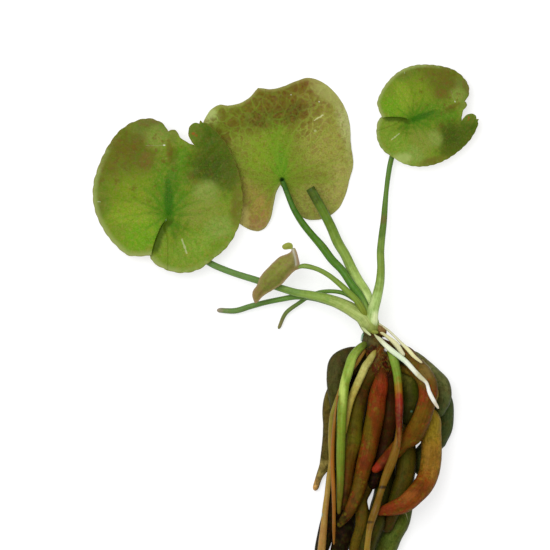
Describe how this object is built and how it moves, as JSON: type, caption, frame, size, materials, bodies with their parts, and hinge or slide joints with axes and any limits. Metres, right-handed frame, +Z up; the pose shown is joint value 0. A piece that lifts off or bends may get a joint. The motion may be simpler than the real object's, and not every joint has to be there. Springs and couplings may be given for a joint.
{
  "type": "banana lily plant",
  "caption": "Bare-rooted water plant lying flat: round notched leaves on slender stalks, joined at a short crown to a bundle of banana-shaped tubers and thin roots.",
  "frame": {"origin": "on the surface that the plant lies on, under the middle of its outline", "axes": "+Y along the plant from its tubers to its leaves, +Z up from the surface, +X to the side of the smaller notched leaf"},
  "size_m": [0.1158, 0.1542, 0.0215],
  "materials": {
    "leaf": "waxy yellow-green leaf with brown-olive mottling",
    "leaf_underside": "leaf underside, pinkish brown between light green veins",
    "leaf_young": "folded olive-tan young leaf",
    "stalk": "smooth green stalk, pale at its base",
    "crown": "pale green sheaths over a dark brown rootstock",
    "tuber_dark": "moist dark olive-brown skin",
    "tuber_brown": "moist brown skin",
    "tuber_green": "moist dark green skin",
    "tuber_red": "moist orange-brown skin with red patches",
    "root_amber": "amber root",
    "root_cream": "cream-olive root",
    "root_green": "bright green root",
    "root_white": "white young root"
  },
  "bodies": {
    "root": {"leaf_left": "leaf", "leaf_right": "leaf", "leaf_middle": "leaf_underside", "leaf_young": "leaf_young", "stalk_left": "stalk", "stalk_middle": "stalk", "stalk_cut": "stalk", "stalk_right": "stalk", "stalk_young": "stalk", "shoot_blunt": "stalk", "shoot_pointed": "stalk", "crown": "crown", "tuber_left_bottom": "tuber_dark", "tuber_shaded": "tuber_dark", "tuber_bottom_middle": "tuber_brown", "tuber_right_bottom": "tuber_green", "tuber_right_lower": "tuber_green", "tuber_dark_lower": "tuber_dark", "tuber_left_outer": "tuber_dark", "tuber_olive": "tuber_green", "tuber_dark_middle": "tuber_dark", "tuber_green_inner": "tuber_green", "tuber_right_outer": "tuber_green", "tuber_left_upper": "tuber_dark", "tuber_brown": "tuber_brown", "tuber_tan": "tuber_red", "tuber_red": "tuber_red", "tuber_right_inner": "tuber_red", "root_tan": "root_amber", "root_amber": "root_amber", "root_cream": "root_cream", "root_green_red": "root_green", "root_green": "root_green", "root_orange": "root_amber", "root_white_long": "root_white", "root_white_side": "root_white", "root_white_short": "root_white"}
  },
  "joints": []
}
